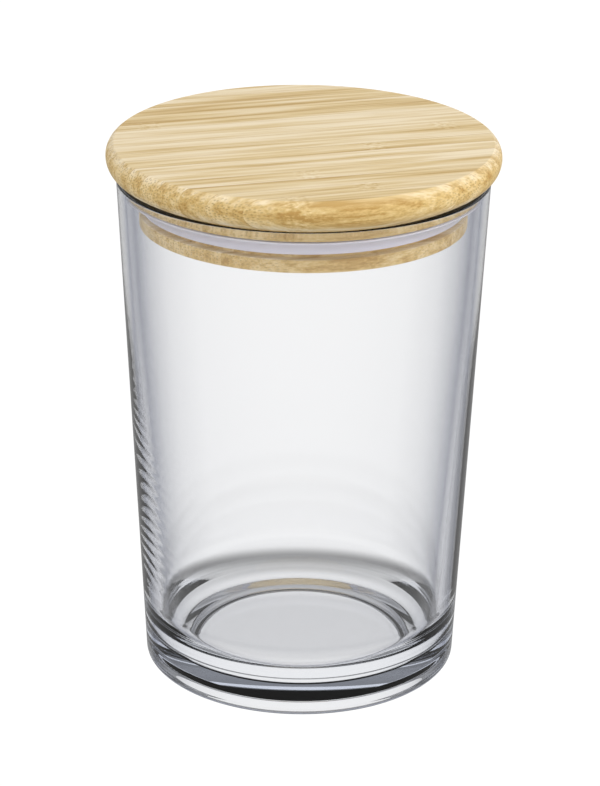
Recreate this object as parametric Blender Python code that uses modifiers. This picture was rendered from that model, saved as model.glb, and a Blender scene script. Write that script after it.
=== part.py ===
"""Lidded glass canister: a heavy-based tapered jar, a laminated bamboo lid and its sealing ring.

Metres, +Z up. The origin is the centre of the jar's foot, on the surface that it stands on.
"""

import math

import bmesh
import bpy
from mathutils import Matrix

# Jar
JAR_HEIGHT = 0.1547            # foot to the top of the rim
RIM_RADIUS = 0.0546            # outside of the wall at the rim
BASE_RADIUS = 0.0468           # outside of the wall where it meets the heel
HEEL_WIDTH = 0.0064
HEEL_HEIGHT = 0.0038
RIM_WALL = 0.0022              # wall thickness from the rim down to THICKENING_HEIGHT
FLOOR_WALL = 0.0049            # what the wall would reach at the floor without the fillet
THICKENING_HEIGHT = 0.110
FLOOR_THICKNESS = 0.0070
FLOOR_FILLET = 0.0160
FOOT_RING_WIDTH = 0.0050       # flat ring that the jar stands on
RECESS_DEPTH = 0.0025          # hollow of the underside inside the foot ring
RECESS_SLOPE_WIDTH = 0.0015

# Lid
SEAT_GAP = 0.0003              # between the rim and the underside of the disc
DISC_THICKNESS = 0.0093
DISC_OVERHANG = 0.0029         # disc beyond the outside of the rim
TOP_ROUND_WIDTH = 0.0023
TOP_ROUND_HEIGHT = 0.0040
UNDER_ROUND_WIDTH = 0.0048
UPPER_FLANGE_HEIGHT = 0.0035
UPPER_FLANGE_CLEARANCE = 0.0006    # to the inside of the rim
GROOVE_HEIGHT = 0.0066
GROOVE_DEPTH = 0.0025          # from the outside of the lower flange
LOWER_FLANGE_HEIGHT = 0.0039
LOWER_FLANGE_CLEARANCE = 0.0044    # to the inside of the rim
PLUG_CHAMFER = 0.0004

# Strips that the lid is glued from
STRIPS_PER_SIDE = 8            # on each side of the glue line through the centre
GLUE_GAP = 0.0003
GRAIN_ANGLE = math.radians(16)
PLUG_GLUE_CLEARANCE = 0.0003   # lower flange to the first glue line outside it
CUTTER_MARGIN = 0.005

# Sealing ring
RING_HEIGHT = 0.0048
RING_GROOVE_GAP = 0.0003       # to the groove's floor and to the flange above
RING_GLASS_GAP = 0.0003        # from the lip at the ring's top
RING_FOOT_WIDTH = 0.0020       # wall of the ring's lower edge
LIP_CURVE = 1.6                # 1 is a straight cone; more keeps the flare near the lip
LIP_HEIGHT = 0.0005            # straight outer edge of the lip
LIP_STEPS = 5

SEGMENTS = 64
CURVE_STEPS = 4                # straight pieces in each small rounded part of a profile
FILLET_STEPS = 8               # and in the large fillet at the floor

LID_SEAT = JAR_HEIGHT + SEAT_GAP
LID_RADIUS = RIM_RADIUS + DISC_OVERHANG
UPPER_FLANGE_RADIUS = RIM_RADIUS - RIM_WALL - UPPER_FLANGE_CLEARANCE
LOWER_FLANGE_RADIUS = RIM_RADIUS - RIM_WALL - LOWER_FLANGE_CLEARANCE
GROOVE_RADIUS = LOWER_FLANGE_RADIUS - GROOVE_DEPTH
GROOVE_TOP = -UPPER_FLANGE_HEIGHT
GROOVE_BOTTOM = GROOVE_TOP - GROOVE_HEIGHT
PLUG_BOTTOM = GROOVE_BOTTOM - LOWER_FLANGE_HEIGHT
STRIP_WIDTH = (LOWER_FLANGE_RADIUS + PLUG_GLUE_CLEARANCE) / (STRIPS_PER_SIDE - 1)

GLASS_COLOUR = (0.86, 0.89, 0.91, 1.0)
BAMBOO_COLOUR = (0.83, 0.66, 0.38, 1.0)
SILICONE_COLOUR = (0.74, 0.75, 0.80, 1.0)


def clear_scene():
    for obj in list(bpy.data.objects):
        bpy.data.objects.remove(obj, do_unlink=True)


def add_collection(name):
    collection = bpy.data.collections.new(name)
    bpy.context.scene.collection.children.link(collection)
    return collection


def add_material(name, colour, roughness, transmission=0.0, ior=1.5):
    material = bpy.data.materials.new(name)
    material.use_nodes = True
    shader = material.node_tree.nodes["Principled BSDF"]
    shader.inputs["Base Color"].default_value = colour
    shader.inputs["Roughness"].default_value = roughness
    shader.inputs["Metallic"].default_value = 0.0
    shader.inputs["Transmission Weight"].default_value = transmission
    shader.inputs["IOR"].default_value = ior
    material.diffuse_color = colour
    return material


def rounding(centre, half_width, half_height, start, end, steps=CURVE_STEPS):
    """Points of an ellipse about centre (radius, height), from start to end in degrees, both included."""
    turn = math.radians(end - start) / steps
    angles = [math.radians(start) + turn * step for step in range(steps + 1)]
    return [
        (centre[0] + half_width * math.cos(angle), centre[1] + half_height * math.sin(angle))
        for angle in angles
    ]


def outer_radius(height):
    """Outside of the jar's straight wall."""
    share = (height - HEEL_HEIGHT) / (JAR_HEIGHT - HEEL_HEIGHT)
    return BASE_RADIUS + (RIM_RADIUS - BASE_RADIUS) * share


def inner_radius(height):
    """Inside of the jar's wall, which thickens evenly below THICKENING_HEIGHT."""
    depth = max(0.0, THICKENING_HEIGHT - height)
    growth = (FLOOR_WALL - RIM_WALL) / (THICKENING_HEIGHT - FLOOR_THICKNESS)
    return outer_radius(height) - RIM_WALL - growth * depth


def jar_profile():
    """From the centre of the floor up the inside, over the rim, down the outside and under the foot."""
    fillet_centre = (
        inner_radius(FLOOR_THICKNESS + FLOOR_FILLET) - FLOOR_FILLET,
        FLOOR_THICKNESS + FLOOR_FILLET,
    )
    rim_round = RIM_WALL / 2
    rim_height = JAR_HEIGHT - rim_round
    rim_centre = (outer_radius(rim_height) - rim_round, rim_height)
    foot_radius = BASE_RADIUS - HEEL_WIDTH
    recess_radius = foot_radius - FOOT_RING_WIDTH
    return [
        (0.0, FLOOR_THICKNESS),
        *rounding(fillet_centre, FLOOR_FILLET, FLOOR_FILLET, -90, 0, FILLET_STEPS),
        (inner_radius(THICKENING_HEIGHT), THICKENING_HEIGHT),
        *rounding(rim_centre, rim_round, rim_round, 180, 0),
        *rounding((foot_radius, HEEL_HEIGHT), HEEL_WIDTH, HEEL_HEIGHT, 0, -90),
        (recess_radius, 0.0),
        (recess_radius - RECESS_SLOPE_WIDTH, RECESS_DEPTH),
        (0.0, RECESS_DEPTH),
    ]


def lid_profile():
    """From the centre of the top over the edge and down the plug; height 0 is the disc's underside."""
    widest_height = DISC_THICKNESS - TOP_ROUND_HEIGHT
    top_centre = (LID_RADIUS - TOP_ROUND_WIDTH, widest_height)
    under_centre = (LID_RADIUS - UNDER_ROUND_WIDTH, widest_height)
    return [
        (0.0, DISC_THICKNESS),
        *rounding(top_centre, TOP_ROUND_WIDTH, TOP_ROUND_HEIGHT, 90, 0),
        *rounding(under_centre, UNDER_ROUND_WIDTH, widest_height, 0, -90)[1:],
        (UPPER_FLANGE_RADIUS, 0.0),
        (UPPER_FLANGE_RADIUS, GROOVE_TOP),
        (GROOVE_RADIUS, GROOVE_TOP),
        (GROOVE_RADIUS, GROOVE_BOTTOM),
        (LOWER_FLANGE_RADIUS, GROOVE_BOTTOM),
        (LOWER_FLANGE_RADIUS, PLUG_BOTTOM + PLUG_CHAMFER),
        (LOWER_FLANGE_RADIUS - PLUG_CHAMFER, PLUG_BOTTOM),
        (0.0, PLUG_BOTTOM),
    ]


def ring_profile():
    """Closed outline of a ring that flares out to a lip, in the same heights as the lid's profile."""
    top = GROOVE_TOP - RING_GROOVE_GAP
    bottom = top - RING_HEIGHT
    inside = GROOVE_RADIUS + RING_GROOVE_GAP
    foot = inside + RING_FOOT_WIDTH
    lip_bottom = top - LIP_HEIGHT
    lip = inner_radius(LID_SEAT + lip_bottom) - RING_GLASS_GAP
    shares = [step / LIP_STEPS for step in range(LIP_STEPS, -1, -1)]
    flare = [
        (foot + (lip - foot) * share ** LIP_CURVE, bottom + (lip_bottom - bottom) * share)
        for share in shares
    ]
    return [(inside, top), (lip, top), *flare, (inside, bottom)]


def profile_mesh(name, points, closed=False):
    mesh = bpy.data.meshes.new(name)
    edges = [(index, index + 1) for index in range(len(points) - 1)]
    if closed:
        edges.append((len(points) - 1, 0))
    mesh.from_pydata([(radius, 0.0, height) for radius, height in points], edges, [])
    return mesh


def add_turned(name, mesh, material, collection):
    """An object whose profile is turned a full circle about its own Z axis."""
    obj = bpy.data.objects.new(name, mesh)
    collection.objects.link(obj)
    if not mesh.materials:
        mesh.materials.append(material)
    screw = obj.modifiers.new("Turn", "SCREW")
    screw.axis = "Z"
    screw.angle = math.tau
    screw.steps = SEGMENTS
    screw.render_steps = SEGMENTS
    screw.use_merge_vertices = True
    screw.merge_threshold = 0.00005
    screw.use_smooth_shade = True
    return obj


def add_cutter(name, low, high, parent, collection):
    """A box across the lid between two offsets from its centre, square to the grain."""
    reach = LID_RADIUS + CUTTER_MARGIN
    size = (2 * reach, high - low, DISC_THICKNESS - PLUG_BOTTOM + 2 * CUTTER_MARGIN)
    centre = (0.0, (low + high) / 2, (DISC_THICKNESS + PLUG_BOTTOM) / 2)
    shape = bmesh.new()
    bmesh.ops.create_cube(shape, size=1.0, matrix=Matrix.Translation(centre) @ Matrix.Diagonal((*size, 1.0)))
    mesh = bpy.data.meshes.new(name)
    shape.to_mesh(mesh)
    shape.free()
    cutter = bpy.data.objects.new(name, mesh)
    collection.objects.link(cutter)
    cutter.rotation_euler.z = GRAIN_ANGLE
    cutter.parent = parent
    cutter.display_type = "WIRE"
    cutter.hide_render = True
    return cutter


def strip_span(index):
    """Low and high offset of a strip across the grain; the outermost strips reach past the disc's edge."""
    first = -STRIPS_PER_SIDE
    last = STRIPS_PER_SIDE - 1
    low = (first + index) * STRIP_WIDTH + GLUE_GAP / 2
    high = (first + index + 1) * STRIP_WIDTH - GLUE_GAP / 2
    if index == 0:
        low = -LID_RADIUS - CUTTER_MARGIN
    if first + index == last:
        high = LID_RADIUS + CUTTER_MARGIN
    return low, high


def build():
    clear_scene()
    parts = add_collection("lidded_glass_canister")
    cutters = add_collection("cutters")

    glass = add_material("clear_glass", GLASS_COLOUR, 0.03, transmission=1.0, ior=1.52)
    bamboo = add_material("turned_bamboo", BAMBOO_COLOUR, 0.5)
    silicone = add_material("moulded_silicone", SILICONE_COLOUR, 0.45, transmission=0.3, ior=1.41)

    add_turned("glass_jar", profile_mesh("glass_jar", jar_profile()), glass, parts)

    lid_seat = bpy.data.objects.new("lid_seat", None)
    lid_seat.location.z = LID_SEAT
    parts.objects.link(lid_seat)

    ring = add_turned("silicone_gasket", profile_mesh("silicone_gasket", ring_profile(), True), silicone, parts)
    ring.parent = lid_seat

    blank = profile_mesh("lid_blank", lid_profile())
    for index in range(2 * STRIPS_PER_SIDE):
        number = f"{index + 1:02d}"
        strip = add_turned(f"bamboo_strip_{number}", blank, bamboo, parts)
        strip.parent = lid_seat
        cut = strip.modifiers.new("Strip", "BOOLEAN")
        cut.operation = "INTERSECT"
        cut.solver = "EXACT"
        cut.object = add_cutter(f"cutter_{number}", *strip_span(index), lid_seat, cutters)


build()
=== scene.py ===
"""Lidded glass canister: pressed glass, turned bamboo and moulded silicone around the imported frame.

Metres, +Z up, in the frame's own axes. Every piece is modelled where it belongs and rides on a body.
"""

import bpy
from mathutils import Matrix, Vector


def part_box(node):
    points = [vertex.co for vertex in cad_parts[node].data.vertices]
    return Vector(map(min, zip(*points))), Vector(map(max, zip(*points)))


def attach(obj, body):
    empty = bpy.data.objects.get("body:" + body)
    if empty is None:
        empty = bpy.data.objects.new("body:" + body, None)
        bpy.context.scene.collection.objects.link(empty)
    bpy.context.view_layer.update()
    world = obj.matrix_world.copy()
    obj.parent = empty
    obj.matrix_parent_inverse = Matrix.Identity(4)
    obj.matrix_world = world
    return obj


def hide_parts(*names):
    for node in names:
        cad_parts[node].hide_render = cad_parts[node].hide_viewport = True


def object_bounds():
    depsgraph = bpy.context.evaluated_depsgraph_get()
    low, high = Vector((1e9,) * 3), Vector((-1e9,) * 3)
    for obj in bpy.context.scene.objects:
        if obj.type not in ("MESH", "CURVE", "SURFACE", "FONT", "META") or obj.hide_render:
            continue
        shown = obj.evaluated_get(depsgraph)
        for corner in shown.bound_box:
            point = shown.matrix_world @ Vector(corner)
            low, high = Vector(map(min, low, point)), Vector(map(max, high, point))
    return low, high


bl_info = {
    "name": "Lidded glass canister",
    "version": (1, 0, 0),
    "blender": (4, 5, 0),
    "location": "View3D > Sidebar > Canister",
    "description": "Models a glass canister with a turned bamboo lid and a silicone sealing ring",
    "category": "Add Mesh",
}

import math
from functools import partial

import bpy
from bpy.props import FloatProperty, FloatVectorProperty, PointerProperty
from mathutils import Matrix, Quaternion, Vector, noise

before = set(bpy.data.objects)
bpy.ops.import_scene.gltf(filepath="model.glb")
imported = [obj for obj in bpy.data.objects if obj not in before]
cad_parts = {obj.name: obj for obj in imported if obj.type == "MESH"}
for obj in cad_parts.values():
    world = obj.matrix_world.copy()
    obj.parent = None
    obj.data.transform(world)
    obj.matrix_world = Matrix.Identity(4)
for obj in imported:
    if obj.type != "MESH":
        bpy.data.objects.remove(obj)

MM = 0.001
JAR = "glass_jar"
RING = "silicone_gasket"
STRIPS = sorted(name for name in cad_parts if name.startswith("bamboo_strip"))
JAR_LOW, JAR_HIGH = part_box(JAR)
RING_LOW, RING_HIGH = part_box(RING)
PLUG_LOW, LID_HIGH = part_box(STRIPS[len(STRIPS) // 2])
FLANGE_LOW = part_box(STRIPS[0])[0].z           # the outermost strip has no plug below its upper flange
LID_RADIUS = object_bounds()[1].x

MATHS = "ShaderNodeMath"
SPREAD = "ShaderNodeMapRange"
RADIAL_STEPS = 192                            # faces round each turned piece
WALL_ROWS = 220                               # rows of faces up the inside of the wall, for the ripples
HELD_SHARES = (0.0004, 0.0015, 0.004, 0.01)   # rows near the wall's ends, which keep its shading straight

# Chill ripples
PATCHES_PER_METRE = 32
WANDERS_PER_METRE = 45
WANDER = 1.6                                  # in ripples
RIPPLE_START = 4 * MM                         # above the fillet
RIPPLE_FADE_IN = 8 * MM
RIPPLE_FADE_OUT = 25 * MM

# How far the glass has turned to its painted reflection colour, by how far the surface turns from the viewer
PAINTED_REFLECTION_SHARES = ((0.25, 0.04), (0.40, 0.16), (0.55, 0.42), (0.66, 0.7), (0.73, 0.9), (0.86, 0.05))

# Brightness of the room from straight below (0) over the horizon (0.5) to straight above (1)
ROOM_BELOW = 0.45
ROOM_ABOVE = 0.6
ROOM_BANDS = ((0.47, 0.45), (0.50, 1.0), (0.58, 1.0), (0.62, 0.25), (0.75, 0.3), (0.85, 0.55))
ROOM_STRENGTH = 1.05

# Name, place in metres, side in metres and power in watts
SOFTBOXES = (
    ("right_softbox", (0.9, -0.25, 0.75), 0.7, 6.5),
    ("left_softbox", (-0.95, -0.1, 0.75), 0.7, 3.5),
    ("front_softbox", (0.25, -1.3, 0.35), 0.8, 5.5),
)
FLOOR_DROP = 0.3 * MM                         # floor below the jar's foot, so that they don't flicker


def linear(code):
    """A colour written as sRGB hex, in linear light."""
    values = [int(code[start:start + 2], 16) / 255 for start in (0, 2, 4)]
    return [v / 12.92 if v <= 0.04045 else ((v + 0.055) / 1.055) ** 2.4 for v in values]


def length(name, description, default):
    return FloatProperty(name=name, description=description, default=default, min=0.0, unit="LENGTH")


def angle(name, description, degrees):
    return FloatProperty(
        name=name, description=description, default=math.radians(degrees), unit="ROTATION"
    )


def colour(name, description, code):
    return FloatVectorProperty(
        name=name, description=description, default=linear(code), size=3, min=0.0, max=1.0,
        subtype="COLOR",
    )


class CanisterJarSizes(bpy.types.PropertyGroup):
    """Sizes of the pressed glass jar that its box doesn't give."""

    rim_radius: length("Rim radius", "Outside of the wall at the rim", 54.6 * MM)
    base_radius: length("Base radius", "Outside of the wall where it meets the heel", 46.8 * MM)
    heel_width: length("Heel width", "How far the rounded heel turns in", 6.4 * MM)
    heel_height: length("Heel height", "How far the rounded heel reaches up", 3.8 * MM)
    rim_wall: length("Rim wall", "Wall thickness at the rim", 2.2 * MM)
    floor_wall: length("Floor wall", "Wall thickness where the inside meets the floor", 4.9 * MM)
    thickening_height: length("Thickening height", "Below this the wall gets thicker", 110 * MM)
    thickening_blend: length("Thickening blend", "Height over which the thickening sets in", 15 * MM)
    floor_thickness: length("Floor thickness", "Thickness of the base", 7.0 * MM)
    floor_fillet: length("Floor fillet", "Rounding between the floor and the wall", 16 * MM)
    foot_ring_width: length("Foot ring width", "Flat ring that the jar stands on", 5.0 * MM)
    recess_depth: length("Recess depth", "Hollow of the underside inside the foot ring", 2.5 * MM)
    recess_slope: length("Recess slope", "Width of the step up into the hollow", 1.5 * MM)
    ripple_pitch: length("Ripple pitch", "Height of one chill ripple on the inside", 3.9 * MM)
    ripple_depth: length("Ripple depth", "Depth of the deepest chill ripples", 0.02 * MM)
    ripple_reach: length("Ripple reach", "Height that the chill ripples reach", 118 * MM)


class CanisterLidSizes(bpy.types.PropertyGroup):
    """Sizes of the turned lid and its ring that their boxes don't give."""

    top_round_width: length("Top rounding width", "From the flat top out to the widest place", 2.3 * MM)
    top_round_height: length("Top rounding height", "From the flat top down to the widest place", 4.0 * MM)
    crest_angle: angle("Crest angle", "Of the top rounding's ellipse; a right angle leaves no crest", 62)
    under_round_width: length("Under rounding width", "From the widest place in to the seat", 4.8 * MM)
    upper_radius: length("Upper flange radius", "Outside of the flange above the groove", 51.8 * MM)
    lower_radius: length("Lower flange radius", "Outside of the flange below the groove", 48.0 * MM)
    groove_depth: length("Groove depth", "From the lower flange in to the groove's floor", 2.5 * MM)
    upper_flange: length("Upper flange", "Height of the flange above the groove", 3.5 * MM)
    lower_flange: length("Lower flange", "Height of the flange below the groove", 3.9 * MM)
    edge_break: length("Edge break", "Rounding of the plug's sharp edges", 0.35 * MM)
    strip_width: length("Strip width", "Width of one bamboo strip", 6.9 * MM)
    glue_gap: length("Glue gap", "Glue line between two strips", 0.03 * MM)
    grain_angle: angle("Grain angle", "From +X to the direction of the grain, seen from above", 16)
    ring_gap: length("Ring gap", "Between the ring and the floor of its groove", 0.3 * MM)
    ring_foot: length("Ring foot", "Wall of the ring's lower edge", 2.0 * MM)
    lip_curve: FloatProperty(
        name="Lip curve", default=1.6,
        description="1 is a straight cone; more keeps the flare near the lip",
    )
    lip_height: length("Lip height", "Straight outer edge of the ring's lip", 0.5 * MM)
    ring_edge: length("Ring edge", "Rounding of the ring's moulded edges", 0.4 * MM)


class CanisterColours(bpy.types.PropertyGroup):
    """Colours of the canister's materials."""

    bamboo_pale: colour("Pale bamboo", "Ground tissue of a fresh strip", "FAE9C8")
    bamboo_mid: colour("Bamboo", "Usual tone of a strip", "E6CC97")
    bamboo_dark: colour("Dark bamboo", "Dense fibres near the culm's skin", "C9A566")
    # Partly oil, partly painted shade: darkens every surface that turns away from level
    bamboo_oiled_and_shaded: colour("Oiled bamboo", "What oil leaves of the colour round the turned edge", "F0E6C8")
    bamboo_pore: colour("Bamboo pores", "Open ends of the vascular bundles", "8F6A34")
    glue: colour("Glue line", "Hardened glue between two strips", "B98F55")
    silicone: colour("Silicone", "Translucent white silicone", "E2E0EC")
    glass_depth: colour("Glass depth", "What thick soda-lime glass shades to", "C2CDE2")
    # Painted reflection: the dark studio that the glass's edge would mirror, painted into the glass's colour
    painted_edge_reflection: colour("Glass edge", "What glass shades to where you look along its surface", "596077")
    studio_white: colour("Studio white", "Floor and backdrop", "FFFFFF")


class CanisterStudioSizes(bpy.types.PropertyGroup):
    """Where the camera and the lights stand."""

    lens: FloatProperty(
        name="Lens", description="Focal length in mm on a 36 mm sensor", default=152.85, min=1.0
    )
    camera_distance: length("Camera distance", "From the camera to the point it looks at", 0.9958)
    camera_elevation: angle("Camera elevation", "Above the horizon", 22.035)
    camera_roll: angle("Camera roll", "Tilt of the camera to its left", 0.53)
    target_height: length("Target height", "Height of the point that the camera looks at", 85.3 * MM)
    target_side: FloatProperty(
        name="Target side", description="How far to the right of the axis the camera looks",
        default=-0.5 * MM, unit="LENGTH",
    )
    floor_size: length("Floor size", "Side of the square floor", 16.0)
    floor_glow: FloatProperty(name="Floor glow", description="Brightness of the lit floor", default=1.05)
    through_glow: FloatProperty(
        name="Through glow", description="Brightness of the floor as seen through the glass", default=0.95
    )
    mirrored_glow: FloatProperty(
        name="Mirrored glow", description="Brightness of the floor as the glass mirrors it", default=0.35
    )
    shade: FloatProperty(
        name="Shade", description="Share of the glow that is left in the shaded ring", default=0.3
    )
    shade_radius: length("Shade radius", "Radius of the ring that the jar's wall shades", 54 * MM)
    shade_spread: length("Shade spread", "From the darkest place of that ring to its edge", 9 * MM)


def settings():
    scene = bpy.context.scene
    return scene.canister_jar, scene.canister_lid, scene.canister_colours, scene.canister_studio


# Modelling helpers


def rounding(centre, half_width, half_height, start, end, steps):
    """Points of an ellipse about centre (radius, height), from start to end in degrees, both included."""
    turn = math.radians(end - start) / steps
    angles = [math.radians(start) + turn * step for step in range(steps + 1)]
    return [
        (centre[0] + half_width * math.cos(turned), centre[1] + half_height * math.sin(turned))
        for turned in angles
    ]


def between(start, end, steps, held=()):
    """Points between two points, both left out; held adds some near each end, by their share of the way."""
    near_end = [1 - share for share in reversed(held)]
    shares = [*held, *(step / steps for step in range(1, steps)), *near_end]
    return [
        (start[0] + (end[0] - start[0]) * share, start[1] + (end[1] - start[1]) * share)
        for share in shares
    ]


def turn(name, outline, steps, closed=False):
    """Draws an outline (radius, height) by extruding one point, and spins it about Z into a closed solid."""
    bpy.ops.object.select_all(action="DESELECT")
    start = Vector((outline[0][0], 0.0, outline[0][1]))
    bpy.ops.mesh.primitive_plane_add(size=MM, location=start)
    obj = bpy.context.object
    obj.name = name
    obj.data.name = name
    bpy.ops.object.transform_apply(location=True, rotation=False, scale=False)
    bpy.ops.object.mode_set(mode="EDIT")
    bpy.ops.mesh.select_mode(type="VERT")
    bpy.ops.mesh.select_all(action="SELECT")
    bpy.ops.mesh.merge(type="CENTER")
    for here, there in zip(outline, outline[1:] + outline[:1] * closed):
        step = (there[0] - here[0], 0.0, there[1] - here[1])
        bpy.ops.mesh.extrude_region_move(TRANSFORM_OT_translate={"value": step})
    bpy.ops.mesh.select_all(action="SELECT")
    bpy.ops.mesh.spin(steps=steps, angle=math.tau, center=(0, 0, 0), axis=(0, 0, 1))
    bpy.ops.mesh.select_all(action="SELECT")
    bpy.ops.mesh.remove_doubles(threshold=0.002 * MM)
    bpy.ops.mesh.normals_make_consistent(inside=False)
    bpy.ops.object.mode_set(mode="OBJECT")
    return obj


def copy_of(source, name):
    bpy.ops.object.select_all(action="DESELECT")
    source.select_set(True)
    bpy.context.view_layer.objects.active = source
    bpy.ops.object.duplicate(linked=False)
    copy = bpy.context.object
    copy.name = name
    copy.data.name = name
    return copy


def cut_away(obj, point, normal):
    """Cuts off what lies on the normal's side of a plane and closes the cut."""
    bpy.ops.object.select_all(action="DESELECT")
    obj.select_set(True)
    bpy.context.view_layer.objects.active = obj
    bpy.ops.object.mode_set(mode="EDIT")
    bpy.ops.mesh.select_all(action="SELECT")
    bpy.ops.mesh.bisect(plane_co=point, plane_no=normal, use_fill=True, clear_outer=True, threshold=1e-7)
    bpy.ops.object.mode_set(mode="OBJECT")


def smooth(obj, degrees):
    bpy.ops.object.select_all(action="DESELECT")
    obj.select_set(True)
    bpy.context.view_layer.objects.active = obj
    bpy.ops.object.shade_smooth_by_angle(angle=math.radians(degrees))


# Material helpers


def new_material(name):
    material = bpy.data.materials.new(name)
    material.use_nodes = True
    material.node_tree.nodes.clear()
    return material


def add_node(tree, kind, inputs=None, **options):
    """Adds a node with its options; an input gets a value, another node's output or its first output."""
    node = tree.nodes.new(kind)
    for name, value in options.items():
        setattr(node, name, value)
    for socket, value in (inputs or {}).items():
        if isinstance(value, bpy.types.Node):
            value = value.outputs[0]
        if isinstance(value, bpy.types.NodeSocket):
            tree.links.new(value, node.inputs[socket])
        else:
            node.inputs[socket].default_value = value
    return node


def give(obj, material):
    obj.data.materials.clear()
    obj.data.materials.append(material)


# Materials


def pressed_glass():
    """Soda-lime glass, pressed and fire polished: clear through the wall, with a painted grey-blue
    reflection of a dark studio along its edge.
    """
    colours = settings()[2]
    material = new_material("soda_lime_glass_pressed")
    tree = material.node_tree
    # Painted reflection: the colour turns grey-blue where the surface turns from the viewer, standing in for
    # the dark studio mirrored there
    edge = add_node(tree, "ShaderNodeLayerWeight", {"Blend": 0.5})
    tint = add_node(tree, "ShaderNodeValToRGB", {"Fac": edge.outputs["Facing"]})
    reflection_stops = tint.color_ramp.elements
    reflection_stops[0].position, reflection_stops[0].color = 0.05, (1, 1, 1, 1)
    reflection_stops[1].position, reflection_stops[1].color = 1.0, (*colours.painted_edge_reflection, 1)
    for facing, share in PAINTED_REFLECTION_SHARES:
        shade = [1 + (value - 1) * share for value in colours.painted_edge_reflection]
        reflection_stops.new(facing).color = (*shade, 1)
    shader = add_node(
        tree, "ShaderNodeBsdfPrincipled",
        {"Base Color": tint.outputs["Color"], "Roughness": 0.0, "IOR": 1.52, "Transmission Weight": 1.0},
    )
    body = add_node(
        tree, "ShaderNodeVolumeAbsorption", {"Color": (*colours.glass_depth, 1), "Density": 10.0}
    )
    output = add_node(tree, "ShaderNodeOutputMaterial", {"Surface": shader.outputs["BSDF"]})
    tree.links.new(body.outputs["Volume"], output.inputs["Volume"])
    return material


def moulded_silicone():
    """Platinum-cured silicone, moulded: milky, soft satin, light bleeds through its thin edges."""
    colours = settings()[2]
    material = new_material("silicone_moulded")
    tree = material.node_tree
    place = add_node(tree, "ShaderNodeTexCoord")
    mottle = add_node(
        tree, "ShaderNodeTexNoise", {"Vector": place.outputs["Object"], "Scale": 220.0, "Detail": 2.0}
    )
    gloss = add_node(
        tree, "ShaderNodeMapRange", {"Value": mottle.outputs["Fac"], "To Min": 0.32, "To Max": 0.5}
    )
    skin = add_node(
        tree, "ShaderNodeBump", {"Height": mottle.outputs["Fac"], "Distance": 0.02 * MM, "Strength": 0.3}
    )
    shader = add_node(
        tree, "ShaderNodeBsdfPrincipled",
        {
            "Base Color": (*colours.silicone, 1), "Roughness": gloss.outputs["Result"], "IOR": 1.41,
            "Subsurface Weight": 0.35, "Subsurface Radius": (1, 1, 1), "Subsurface Scale": 1.5 * MM,
            "Normal": skin.outputs["Normal"],
        },
    )
    add_node(tree, "ShaderNodeOutputMaterial", {"Surface": shader.outputs["BSDF"]})
    return material


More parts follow.
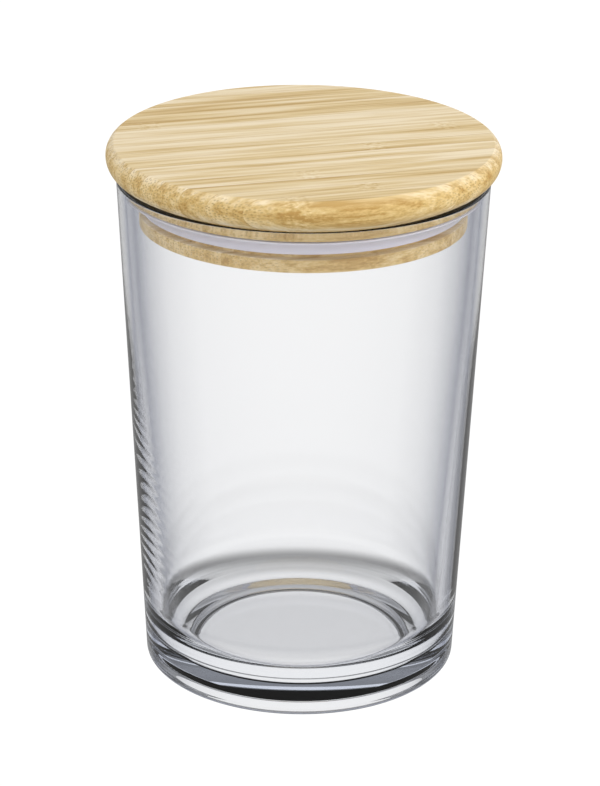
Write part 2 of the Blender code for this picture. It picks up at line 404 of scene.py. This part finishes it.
def turned_bamboo():
    """Glued bamboo board, turned and sanded: silky straight fibres on the face, pores on the end grain."""
    _, lid, colours, _ = settings()
    material = new_material("bamboo_laminated_turned")
    add = partial(add_node, material.node_tree)

    # Millimetres along the grain, across it and up
    place = add("ShaderNodeTexCoord")
    turned = add(
        "ShaderNodeMapping",
        {"Vector": place.outputs["Object"], "Rotation": (0, 0, -lid.grain_angle), "Scale": (1 / MM,) * 3},
    )
    axes = add("ShaderNodeSeparateXYZ", {"Vector": turned})
    along, across, up = axes.outputs[0], axes.outputs[1], axes.outputs[2]

    # One strip after another, each from its own culm
    outermost = len(STRIPS) // 2 - 1
    strip_place = add(MATHS, {0: across, 1: lid.strip_width / MM}, operation="DIVIDE")
    number = add(MATHS, {0: strip_place}, operation="FLOOR")
    number = add(MATHS, {0: number, 1: outermost}, operation="MINIMUM")
    number = add(MATHS, {0: number, 1: -outermost - 1}, operation="MAXIMUM")
    seed = add(MATHS, {0: number, 1: 31.5}, operation="ADD")
    culm = add("ShaderNodeTexWhiteNoise", {"W": seed}, noise_dimensions="1D")
    lot = add("ShaderNodeSeparateColor", {"Color": culm.outputs["Color"]})
    tone, shift, flip = lot.outputs[0], lot.outputs[1], lot.outputs[2]
    along_culm = add(MATHS, {0: shift, 1: 900.0, 2: along}, operation="MULTIPLY_ADD")

    # Fibres: bands 2 mm wide, threads of 0.7 mm, tangled ones at a node, and flecks where the edge cuts them
    fibres = {}
    for name, stretch, per_mm, detail, roughness in (
        ("bands", 0.045, 0.5, 3.0, 0.5),
        ("threads", 0.02, 1.5, 3.0, 0.6),
        ("tangle", 0.45, 1.5, 2.0, 0.5),
        ("flecks", 0.3, 1.8, 3.0, 0.7),
    ):
        drawn_out = add(MATHS, {0: along_culm, 1: stretch}, operation="MULTIPLY")
        grain_place = add("ShaderNodeCombineXYZ", {0: drawn_out, 1: across, 2: up})
        grain = add(
            "ShaderNodeTexNoise",
            {"Vector": grain_place, "Scale": per_mm, "Detail": detail, "Roughness": roughness},
        )
        fibres[name] = add(MATHS, {0: grain, 1: 0.5}, operation="SUBTRACT")

    # A strip gets denser towards the culm's skin, which lies to one side of it or the other
    within = add(MATHS, {0: strip_place, 1: number}, operation="SUBTRACT")
    skin_side = add(MATHS, {0: flip, 1: 0.5}, operation="GREATER_THAN")
    toward_skin = add(MATHS, {0: within, 1: skin_side}, operation="SUBTRACT")
    toward_skin = add(MATHS, {0: toward_skin}, operation="ABSOLUTE")

    # Vascular bundles 0.9 mm apart: dots on the end grain and fine streaks on the face
    bundle_across = add(MATHS, {0: shift, 1: 90.0, 2: across}, operation="MULTIPLY_ADD")
    bundle_place = add("ShaderNodeCombineXYZ", {0: bundle_across, 1: up})
    bundles = add(
        "ShaderNodeTexVoronoi", {"Vector": bundle_place, "Scale": 1.15, "Randomness": 0.7},
        voronoi_dimensions="2D",
    )
    core = add(
        SPREAD, {"Value": bundles, "From Min": 0.14, "From Max": 0.32, "To Min": 1.0, "To Max": 0.0},
        interpolation_type="SMOOTHSTEP",
    )

    # How far the surface is turned to the end of the grain, and away from level
    facing = add(
        "ShaderNodeVectorMath",
        {0: place.outputs["Normal"], 1: (math.cos(lid.grain_angle), math.sin(lid.grain_angle), 0)},
        operation="DOT_PRODUCT",
    )
    to_end = add(MATHS, {0: facing.outputs["Value"]}, operation="ABSOLUTE")
    end_grain = add(
        SPREAD, {"Value": to_end, "From Min": 0.15, "From Max": 0.75}, interpolation_type="SMOOTHSTEP"
    )
    normal = add("ShaderNodeSeparateXYZ", {"Vector": place.outputs["Normal"]})
    level = add(MATHS, {0: normal.outputs[2]}, operation="ABSOLUTE")
    side = add(
        SPREAD, {"Value": level, "From Min": 0.3, "From Max": 0.85, "To Min": 1.0, "To Max": 0.0},
        interpolation_type="SMOOTHSTEP",
    )

    # A culm's node crosses a strip as a short patch of tangled fibres
    node_place = add(MATHS, {0: tone, 1: 260.0, 2: -130.0}, operation="MULTIPLY_ADD")
    from_node = add(MATHS, {0: along, 1: node_place}, operation="SUBTRACT")
    from_node = add(MATHS, {0: from_node}, operation="ABSOLUTE")
    node_patch = add(
        SPREAD, {"Value": from_node, "From Min": 1.5, "From Max": 5.5, "To Min": 1.0, "To Max": 0.0},
        interpolation_type="SMOOTHSTEP",
    )

    # From dark to pale
    fleck_weight = add(MATHS, {0: side, 1: 1.1}, operation="MULTIPLY")
    tangle_weight = add(MATHS, {0: node_patch, 1: 1.3}, operation="MULTIPLY")
    value = add(MATHS, {0: tone, 1: 0.38, 2: 0.48}, operation="MULTIPLY_ADD")
    for share, weight in (
        (toward_skin, -0.3),
        (fibres["bands"], 1.7),
        (fibres["threads"], 0.7),
        (fibres["flecks"], fleck_weight),
        (fibres["tangle"], tangle_weight),
    ):
        value = add(MATHS, {0: share, 1: weight, 2: value}, operation="MULTIPLY_ADD")
    ramp = add("ShaderNodeValToRGB", {"Fac": value})
    stops = ramp.color_ramp.elements
    stops[0].position, stops[0].color = 0.05, (*colours.bamboo_dark, 1)
    stops[1].position, stops[1].color = 0.85, (*colours.bamboo_pale, 1)
    stops.new(0.42).color = (*colours.bamboo_mid, 1)

    # Pores, oil and painted shade round the edge, and glue lines on the face
    pore_depth = add(MATHS, {0: flip, 1: 0.3, 2: 0.2}, operation="MULTIPLY_ADD")
    pore_share = add(MATHS, {0: end_grain, 1: pore_depth, 2: 0.06}, operation="MULTIPLY_ADD")
    pores = add(MATHS, {0: core, 1: pore_share}, operation="MULTIPLY")
    nearest = add(MATHS, {0: strip_place}, operation="ROUND")
    nearest = add(MATHS, {0: nearest, 1: outermost}, operation="MINIMUM")
    nearest = add(MATHS, {0: nearest, 1: -outermost}, operation="MAXIMUM")
    from_glue = add(MATHS, {0: strip_place, 1: nearest}, operation="SUBTRACT")
    from_glue = add(MATHS, {0: from_glue}, operation="ABSOLUTE")
    line = add(
        SPREAD, {"Value": from_glue, "From Min": 0.005, "From Max": 0.025, "To Min": 0.4, "To Max": 0.0},
        interpolation_type="SMOOTHSTEP",
    )
    face = add(MATHS, {0: 1.0, 1: side}, operation="SUBTRACT")
    glue_line = add(MATHS, {0: line, 1: face}, operation="MULTIPLY")
    tinted = ramp.outputs["Color"]
    for share, tint, blend in (
        (pores, colours.bamboo_pore, "MIX"),
        # The turned edge darkened: partly oil, partly painted shade
        (side, colours.bamboo_oiled_and_shaded, "MULTIPLY"),
        (glue_line, colours.glue, "MULTIPLY"),
    ):
        layer = add(
            "ShaderNodeMix", {"Factor": share, "A": tinted, "B": (*tint, 1)},
            data_type="RGBA", blend_type=blend,
        )
        tinted = layer.outputs["Result"]

    gloss = add(MATHS, {0: fibres["threads"], 1: 0.15, 2: 0.495}, operation="MULTIPLY_ADD")
    open_pores = add(MATHS, {0: core, 1: end_grain}, operation="MULTIPLY")
    relief = add(MATHS, {0: fibres["threads"], 1: open_pores}, operation="SUBTRACT")
    sanded = add("ShaderNodeBump", {"Height": relief, "Distance": 0.03 * MM, "Strength": 0.35})
    shader = add(
        "ShaderNodeBsdfPrincipled",
        {"Base Color": tinted, "Roughness": gloss, "IOR": 1.5, "Normal": sanded},
    )
    add("ShaderNodeOutputMaterial", {"Surface": shader})
    return material


# Pieces


def outer_radius(height):
    """Outside of the jar's straight wall."""
    jar = settings()[0]
    share = (height - jar.heel_height) / (JAR_HIGH.z - jar.heel_height)
    return jar.base_radius + (jar.rim_radius - jar.base_radius) * share


def inner_radius(height):
    """Inside of the jar's wall, which thickens smoothly towards the floor."""
    jar = settings()[0]
    below = jar.thickening_height - height
    depth = (below + math.hypot(below, jar.thickening_blend)) / 2
    growth = (jar.floor_wall - jar.rim_wall) / (jar.thickening_height - jar.floor_thickness)
    return outer_radius(height) - jar.rim_wall - growth * depth


def jar_outline():
    """From the centre of the floor up the inside, over the rim, down the outside and under the foot."""
    jar = settings()[0]
    fillet_top = jar.floor_thickness + jar.floor_fillet
    fillet_centre = (inner_radius(fillet_top) - jar.floor_fillet, fillet_top)
    rim_round = jar.rim_wall / 2
    rim_centre = (outer_radius(JAR_HIGH.z - rim_round) - rim_round, JAR_HIGH.z - rim_round)
    foot_radius = jar.base_radius - jar.heel_width
    recess_radius = foot_radius - jar.foot_ring_width
    heights = [
        fillet_top + (rim_centre[1] - fillet_top) * row / WALL_ROWS for row in range(1, WALL_ROWS)
    ]
    inside = [(inner_radius(height), height) for height in heights]
    rim = rounding(rim_centre, rim_round, rim_round, 180, 0, 16)
    heel = rounding((foot_radius, jar.heel_height), jar.heel_width, jar.heel_height, 0, -90, 16)
    recess_foot = (recess_radius, 0.0)
    recess_top = (recess_radius - jar.recess_slope, jar.recess_depth)
    return [
        (0.0, jar.floor_thickness),
        *between((0.0, jar.floor_thickness), (fillet_centre[0], jar.floor_thickness), 6),
        *rounding(fillet_centre, jar.floor_fillet, jar.floor_fillet, -90, 0, 36),
        *inside,
        *rim,
        *between(rim[-1], heel[0], 40, HELD_SHARES),
        *heel,
        *between(heel[-1], recess_foot, 3),
        *(
            (
                recess_foot[0] + (recess_top[0] - recess_foot[0]) * step / 8,
                jar.recess_depth * (1 - math.cos(math.pi * step / 8)) / 2,
            )
            for step in range(9)
        ),
        *between(recess_top, (0.0, jar.recess_depth), 6),
        (0.0, jar.recess_depth),
    ]


def chill_ripples(obj):
    """Faint waves where the inside of the wall cooled against the plunger, in patches round the jar."""
    jar = settings()[0]
    low = jar.floor_thickness + jar.floor_fillet + RIPPLE_START
    for vertex in obj.data.vertices:
        x, y, z = vertex.co
        radius = math.hypot(x, y)
        on_inside = abs(radius - inner_radius(z)) < 0.2 * MM
        if not on_inside or z < low or z > jar.ripple_reach:
            continue
        patch = noise.noise(Vector((x, y, z * 0.5)) * PATCHES_PER_METRE)
        wander = noise.noise(Vector((x, y, z)) * WANDERS_PER_METRE) * WANDER
        reach = jar.ripple_reach if x < 0 else jar.ripple_reach / 2
        fade = max(0.0, min(1.0, (z - low) / RIPPLE_FADE_IN, (reach - z) / RIPPLE_FADE_OUT))
        turned_away = max(0.0, min(1.0, (abs(x) / radius - 0.75) / 0.15))
        strength = max(0.0, min(1.0, 0.6 + patch * 1.6)) * fade * turned_away
        wave = math.sin(math.tau * (z / jar.ripple_pitch + wander))
        move = jar.ripple_depth * strength * wave
        vertex.co.x += x / radius * move
        vertex.co.y += y / radius * move
    obj.data.update()


class CANISTER_OT_glass_jar(bpy.types.Operator):
    """Turn the jar's outline, add its chill ripples and give it pressed glass"""

    bl_idname = "canister.glass_jar"
    bl_label = "Glass jar"

    def execute(self, context):
        jar = turn("pressed_glass_jar", jar_outline(), RADIAL_STEPS)
        chill_ripples(jar)
        smooth(jar, 50)
        give(jar, pressed_glass())
        jar.visible_shadow = False
        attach(jar, "jar")
        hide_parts(JAR)
        return {"FINISHED"}


class CANISTER_OT_sealing_ring(bpy.types.Operator):
    """Turn the sealing ring, which sits in the plug's groove and flares out to a lip at the glass"""

    bl_idname = "canister.sealing_ring"
    bl_label = "Sealing ring"

    def execute(self, context):
        lid = context.scene.canister_lid
        low, high = RING_LOW.z, RING_HIGH.z
        edge, soft_lip = lid.ring_edge, lid.lip_height / 2
        inside = lid.lower_radius - lid.groove_depth + lid.ring_gap
        foot, lip = inside + lid.ring_foot, RING_HIGH.x
        lip_low = high - lid.lip_height
        flare = []
        for step in range(15, 1, -1):
            share = step / 16
            flare.append((foot + (lip - foot) * share ** lid.lip_curve, low + (lip_low - low) * share))
        outline = [
            *rounding((inside + edge, high - edge), edge, edge, 180, 90, 6),
            *rounding((lip - soft_lip, high - soft_lip), soft_lip, soft_lip, 90, -60, 8),
            *flare,
            *rounding((foot - edge, low + edge), edge, edge, 0, -90, 6),
            *rounding((inside + edge, low + edge), edge, edge, -90, -180, 6),
        ]
        ring = turn("sealing_ring", outline, RADIAL_STEPS, closed=True)
        smooth(ring, 40)
        give(ring, moulded_silicone())
        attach(ring, "sealing_ring")
        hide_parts(RING)
        return {"FINISHED"}


def lid_outline():
    """From the centre of the top over the rounded edge, in along the seat and down the grooved plug."""
    lid = settings()[1]
    top, seat, bottom = LID_HIGH.z, FLANGE_LOW + lid.upper_flange, PLUG_LOW.z
    widest = top - lid.top_round_height
    upper, lower = FLANGE_LOW, bottom + lid.lower_flange
    collar, plug, edge = lid.upper_radius, lid.lower_radius, lid.edge_break
    groove = plug - lid.groove_depth
    crest = lid.crest_angle
    crown_width = lid.top_round_width / (1 - math.cos(crest))
    crown_height = lid.top_round_height / math.sin(crest)
    crown = rounding(
        (LID_RADIUS - crown_width, widest), crown_width, crown_height, math.degrees(crest), 0, 14
    )
    under = rounding(
        (LID_RADIUS - lid.under_round_width, widest), lid.under_round_width, widest - seat, 0, -90, 14
    )
    return [
        (0.0, top),
        *between((0.0, top), crown[0], 8),
        *crown,
        *under[1:],
        (collar, seat),
        *rounding((collar - edge, upper + edge), edge, edge, 0, -90, 6),
        (groove, upper),
        (groove, lower),
        *rounding((plug - edge, lower - edge), edge, edge, 90, 0, 6),
        *rounding((plug - edge, bottom + edge), edge, edge, 0, -90, 6),
        *between((plug - edge, bottom), (0.0, bottom), 8),
        (0.0, bottom),
    ]


class CANISTER_OT_bamboo_lid(bpy.types.Operator):
    """Turn the lid's blank and saw it back into the strips that it is glued from"""

    bl_idname = "canister.bamboo_lid"
    bl_label = "Bamboo lid"

    def execute(self, context):
        lid = context.scene.canister_lid
        blank = turn("lid_blank", lid_outline(), RADIAL_STEPS)
        smooth(blank, 20)
        bamboo = turned_bamboo()
        across = Matrix.Rotation(lid.grain_angle, 3, "Z") @ Vector((0, 1, 0))
        half = len(STRIPS) // 2
        for index, node in enumerate(STRIPS):
            strip = copy_of(blank, node.replace("bamboo_strip", "turned_strip"))
            if index > 0:
                low = (index - half) * lid.strip_width + lid.glue_gap / 2
                cut_away(strip, across * low, -across)
            if index < len(STRIPS) - 1:
                high = (index + 1 - half) * lid.strip_width - lid.glue_gap / 2
                cut_away(strip, across * high, across)
            smooth(strip, 20)
            give(strip, bamboo)
            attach(strip, "lid")
            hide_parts(node)
        bpy.data.objects.remove(blank, do_unlink=True)
        return {"FINISHED"}


def lit_table(name, white, glow, shade, ring, spread):
    """Acrylic sheet lit from below, which glows less in the ring that the jar's wall shades."""
    material = new_material("lit_acrylic_" + name)
    tree = material.node_tree
    place = add_node(tree, "ShaderNodeTexCoord")
    reach = add_node(tree, "ShaderNodeVectorMath", {0: place.outputs["Object"]}, operation="LENGTH")
    from_ring = add_node(
        tree, "ShaderNodeMath", {0: reach.outputs["Value"], 1: ring}, operation="SUBTRACT"
    )
    off_ring = add_node(tree, "ShaderNodeMath", {0: from_ring.outputs[0]}, operation="ABSOLUTE")
    strength = add_node(
        tree, "ShaderNodeMapRange",
        {
            "Value": off_ring.outputs[0], "From Min": 0.0, "From Max": spread,
            "To Min": glow * shade, "To Max": glow,
        },
        interpolation_type="SMOOTHSTEP",
    )
    lamp = add_node(
        tree, "ShaderNodeEmission", {"Color": (*white, 1), "Strength": strength.outputs["Result"]}
    )
    add_node(tree, "ShaderNodeOutputMaterial", {"Surface": lamp.outputs["Emission"]})
    return material


def add_softbox(name, place, size, power):
    """A square area light that looks at the jar's middle."""
    bpy.ops.object.light_add(type="AREA", location=place)
    light = bpy.context.object
    light.name = name
    light.data.energy = power
    light.data.size = size
    light.rotation_mode = "QUATERNION"
    aim = Vector((0, 0, JAR_HIGH.z / 2)) - Vector(place)
    light.rotation_quaternion = aim.to_track_quat("-Z", "Y")
    light.visible_glossy = False
    light.visible_transmission = False


class CANISTER_OT_studio(bpy.types.Operator):
    """Set up the pale floor, the backdrop, the soft lights and the camera"""

    bl_idname = "canister.studio"
    bl_label = "Studio"

    def execute(self, context):
        scene = context.scene
        studio, white = scene.canister_studio, scene.canister_colours.studio_white
        scene.view_settings.view_transform = "Standard"

        # Three copies of the floor, each seen by one kind of ray: the camera sees it evenly white, the glass
        # shows it through with a painted shadow ring round the jar, and the glass mirrors a darker copy as a
        # painted reflection of a dim studio
        for name, glow, shade, sight in (
            ("studio_floor", studio.floor_glow, 1.0, "camera"),
            ("studio_floor_through_glass", studio.through_glow, studio.shade, "transmission"),
            ("studio_floor_mirrored", studio.mirrored_glow, 1.0, "glossy"),
        ):
            bpy.ops.object.select_all(action="DESELECT")
            bpy.ops.mesh.primitive_plane_add(size=studio.floor_size, location=(0, 0, -FLOOR_DROP))
            floor = context.object
            floor.name = name
            table = lit_table(name, white, glow, shade, studio.shade_radius, studio.shade_spread)
            floor.data.materials.append(table)
            for kind in ("camera", "diffuse", "glossy", "transmission", "volume_scatter", "shadow"):
                setattr(floor, "visible_" + kind, kind == sight)

        world = bpy.data.worlds.new("studio_room")
        world.use_nodes = True
        scene.world = world
        tree = world.node_tree
        tree.nodes.clear()
        place = add_node(tree, "ShaderNodeTexCoord")
        axes = add_node(tree, "ShaderNodeSeparateXYZ", {"Vector": place.outputs["Generated"]})
        height = add_node(
            tree, "ShaderNodeMath", {0: axes.outputs[2], 1: 0.5, 2: 0.5}, operation="MULTIPLY_ADD"
        )
        ramp = add_node(tree, "ShaderNodeValToRGB", {"Fac": height.outputs[0]})
        stops = ramp.color_ramp.elements
        stops[0].position, stops[0].color = 0.0, (ROOM_BELOW, ROOM_BELOW, ROOM_BELOW, 1)
        stops[1].position, stops[1].color = 1.0, (ROOM_ABOVE, ROOM_ABOVE, ROOM_ABOVE, 1)
        for position, grey in ROOM_BANDS:
            stops.new(position).color = (grey, grey, grey, 1)
        sky = add_node(
            tree, "ShaderNodeBackground", {"Color": ramp.outputs["Color"], "Strength": ROOM_STRENGTH}
        )
        add_node(tree, "ShaderNodeOutputWorld", {"Surface": sky.outputs["Background"]})

        for softbox in SOFTBOXES:
            add_softbox(*softbox)

        bpy.ops.object.camera_add()
        camera = context.object
        camera.data.lens = studio.lens
        camera.rotation_mode = "QUATERNION"
        reach = studio.camera_distance
        tilt = studio.camera_elevation
        target = Vector((studio.target_side, 0, studio.target_height))
        camera.location = target + Vector((0, -math.cos(tilt), math.sin(tilt))) * reach
        aim = (target - camera.location).to_track_quat("-Z", "Y")
        camera.rotation_quaternion = aim @ Quaternion((0, 0, 1), studio.camera_roll)
        scene.camera = camera
        return {"FINISHED"}


class CANISTER_PT_panel(bpy.types.Panel):
    """Lists the canister's pieces and its studio"""

    bl_idname = "CANISTER_PT_panel"
    bl_label = "Lidded glass canister"
    bl_space_type = "VIEW_3D"
    bl_region_type = "UI"
    bl_category = "Canister"

    def draw(self, context):
        for operator in OPERATORS:
            self.layout.operator(operator.bl_idname)


OPERATORS = (CANISTER_OT_studio, CANISTER_OT_glass_jar, CANISTER_OT_sealing_ring, CANISTER_OT_bamboo_lid)
GROUPS = {
    "canister_jar": CanisterJarSizes,
    "canister_lid": CanisterLidSizes,
    "canister_colours": CanisterColours,
    "canister_studio": CanisterStudioSizes,
}


def register():
    for name, group in GROUPS.items():
        bpy.utils.register_class(group)
        setattr(bpy.types.Scene, name, PointerProperty(type=group))
    for shown in (*OPERATORS, CANISTER_PT_panel):
        bpy.utils.register_class(shown)


def unregister():
    for shown in (CANISTER_PT_panel, *reversed(OPERATORS)):
        bpy.utils.unregister_class(shown)
    for name, group in reversed(GROUPS.items()):
        delattr(bpy.types.Scene, name)
        bpy.utils.unregister_class(group)


def main():
    register()
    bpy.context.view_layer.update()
    bpy.ops.canister.studio()
    bpy.ops.canister.glass_jar()
    bpy.ops.canister.sealing_ring()
    bpy.ops.canister.bamboo_lid()


if __name__ == "__main__":
    main()
